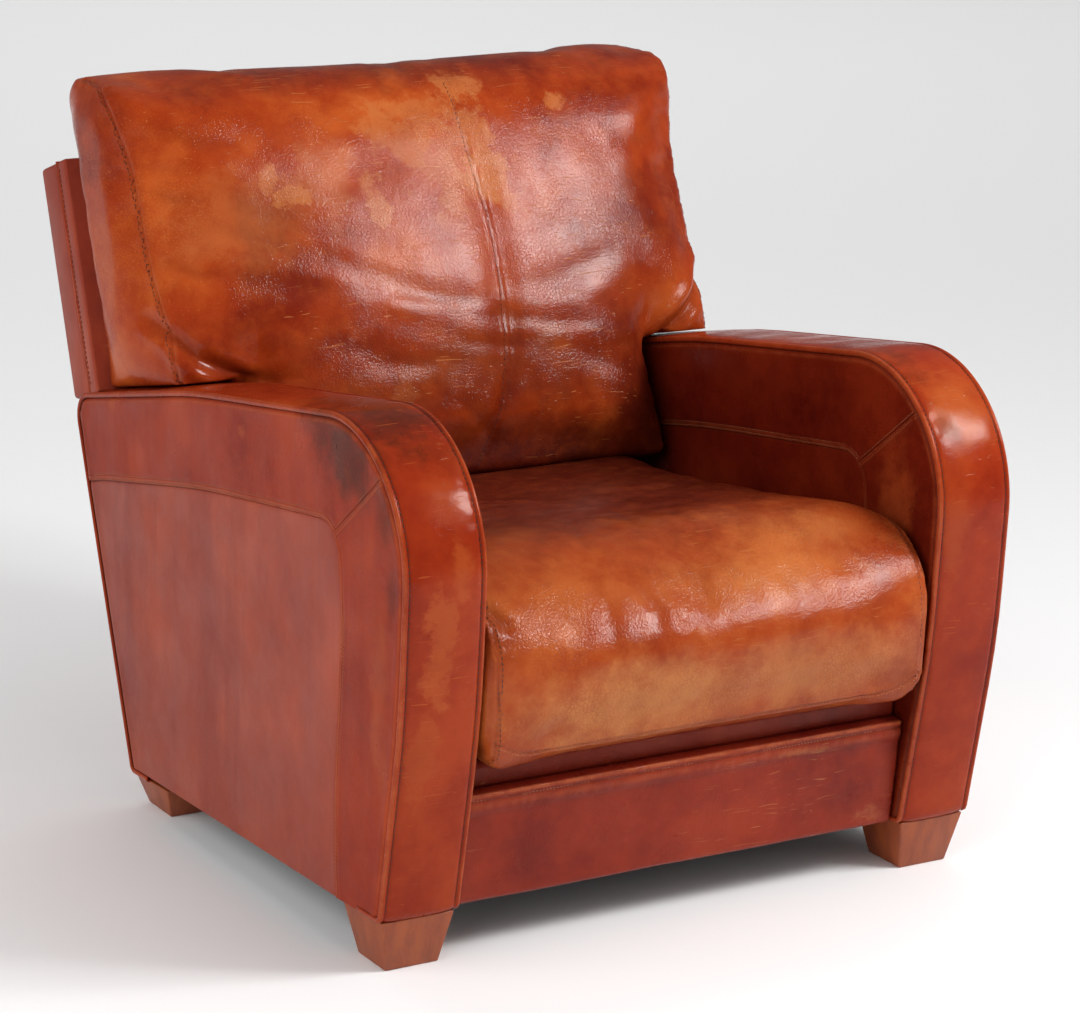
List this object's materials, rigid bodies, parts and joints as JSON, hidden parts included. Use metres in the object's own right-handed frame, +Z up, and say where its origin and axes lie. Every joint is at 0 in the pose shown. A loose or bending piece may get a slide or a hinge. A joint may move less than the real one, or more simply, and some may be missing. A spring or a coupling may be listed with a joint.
{
  "type": "club chair",
  "caption": "Worn leather club chair: boxed arms with rounded fronts, raked back frame, T-shaped back cushion, waterfall seat cushion, tapered wooden feet.",
  "frame": {"origin": "on the floor, under the centre of the chair's box", "axes": "+Z up, +Y from the front of the seat to the back, +X to the right of someone who faces the chair"},
  "size_m": [0.83, 1.017, 0.9236],
  "materials": {
    "body_leather": "satin, worn and glazed",
    "cushion_leather": "satin, worn pale on the seat nose",
    "foot_wood": "stained, satin lacquer",
    "timber": "rough sawn",
    "plywood": "raw",
    "foam": "open-cell foam and wadding",
    "webbing": "elastic woven webbing",
    "black_cloth": "thin non-woven cloth",
    "steel": "zinc plated"
  },
  "bodies": {
    "root": {"back_bottom_rail": "timber", "back_cover": "body_leather", "back_cushion": "cushion_leather", "back_left_stile": "timber", "back_left_wing_post": "timber", "back_right_stile": "timber", "back_right_wing_post": "timber", "back_shoulder_rail": "timber", "back_strap_1": "webbing", "back_strap_2": "webbing", "back_strap_3": "webbing", "back_top_rail": "timber", "front_left_foot": "foot_wood", "front_left_foot_bolt": "steel", "front_panel_cover": "body_leather", "front_panel_foam": "foam", "front_right_foot": "foot_wood", "front_right_foot_bolt": "steel", "left_arm_band_foam": "foam", "left_arm_bottom_rail": "timber", "left_arm_cover": "body_leather", "left_arm_front_bolt": "steel", "left_arm_front_post": "timber", "left_arm_inner_former": "plywood", "left_arm_inner_wadding": "foam", "left_arm_outer_former": "plywood", "left_arm_outer_wadding": "foam", "left_arm_rear_bolt": "steel", "left_arm_rear_post": "timber", "rear_left_foot": "foot_wood", "rear_left_foot_bolt": "steel", "rear_right_foot": "foot_wood", "rear_right_foot_bolt": "steel", "right_arm_band_foam": "foam", "right_arm_bottom_rail": "timber", "right_arm_cover": "body_leather", "right_arm_front_bolt": "steel", "right_arm_front_post": "timber", "right_arm_inner_former": "plywood", "right_arm_inner_wadding": "foam", "right_arm_outer_former": "plywood", "right_arm_outer_wadding": "foam", "right_arm_rear_bolt": "steel", "right_arm_rear_post": "timber", "seat_cross_strap_1": "webbing", "seat_cross_strap_2": "webbing", "seat_cross_strap_3": "webbing", "seat_cushion": "cushion_leather", "seat_deck_cloth": "black_cloth", "seat_deck_lip": "body_leather", "seat_dust_cover": "black_cloth", "seat_front_rail": "timber", "seat_left_side_rail": "timber", "seat_long_strap_1": "webbing", "seat_long_strap_2": "webbing", "seat_long_strap_3": "webbing", "seat_long_strap_4": "webbing", "seat_rear_rail": "timber", "seat_right_side_rail": "timber"}
  },
  "joints": []
}
